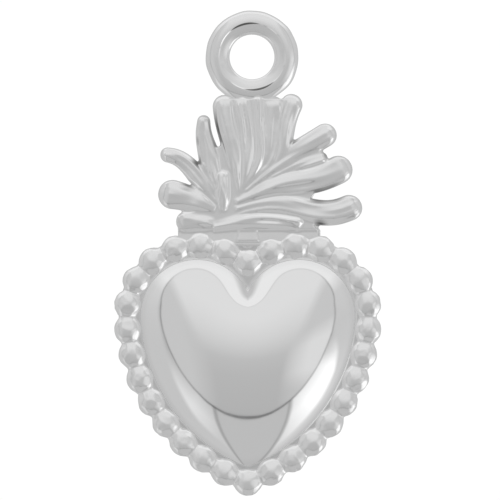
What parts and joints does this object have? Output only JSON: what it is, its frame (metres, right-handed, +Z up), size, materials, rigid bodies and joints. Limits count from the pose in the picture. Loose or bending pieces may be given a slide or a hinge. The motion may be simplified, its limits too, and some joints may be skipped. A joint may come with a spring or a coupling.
{
  "type": "milagro charm",
  "caption": "Silver milagro charm: a domed sacred heart edged with a row of balls, under a crown of flame tongues and a round hanging ring.",
  "frame": {"origin": "centre of the hanging ring's hole, at the hole's waist", "axes": "+Z up the charm, from the heart's tip to the ring; +Y out of the flat back, so the domed front faces -Y; +X to the right as the front is looked at"},
  "size_m": [0.0138, 0.0037, 0.0251],
  "materials": {
    "plate": "polished",
    "heart": "polished",
    "balls": "polished",
    "crown": "polished",
    "ring": "polished"
  },
  "bodies": {
    "root": {"back_plate": "plate", "heart_dome": "heart", "hanging_ring": "ring", "crown_stud": "crown", "base_band_right": "crown", "base_band_left": "crown", "flame_core": "crown", "flame_left_low": "crown", "flame_right_low": "crown", "flame_tall_right": "crown", "flame_right_high": "crown", "flame_right_mid": "crown", "flame_tall_mid": "crown", "flame_left_high": "crown", "flame_tall_outer": "crown", "flame_left_mid": "crown", "flame_right_rib": "crown", "flame_tall_left": "crown", "flame_tall_inner": "crown", "flame_left_inner": "crown", "ball_01": "balls", "ball_02": "balls", "ball_03": "balls", "ball_04": "balls", "ball_05": "balls", "ball_06": "balls", "ball_07": "balls", "ball_08": "balls", "ball_09": "balls", "ball_10": "balls", "ball_11": "balls", "ball_12": "balls", "ball_13": "balls", "ball_14": "balls", "ball_15": "balls", "ball_16": "balls", "ball_17": "balls", "ball_18": "balls", "ball_19": "balls", "ball_20": "balls", "ball_21": "balls", "ball_22": "balls", "ball_23": "balls", "ball_24": "balls", "ball_25": "balls", "ball_26": "balls", "ball_27": "balls", "ball_28": "balls", "ball_29": "balls", "ball_30": "balls"}
  },
  "joints": []
}
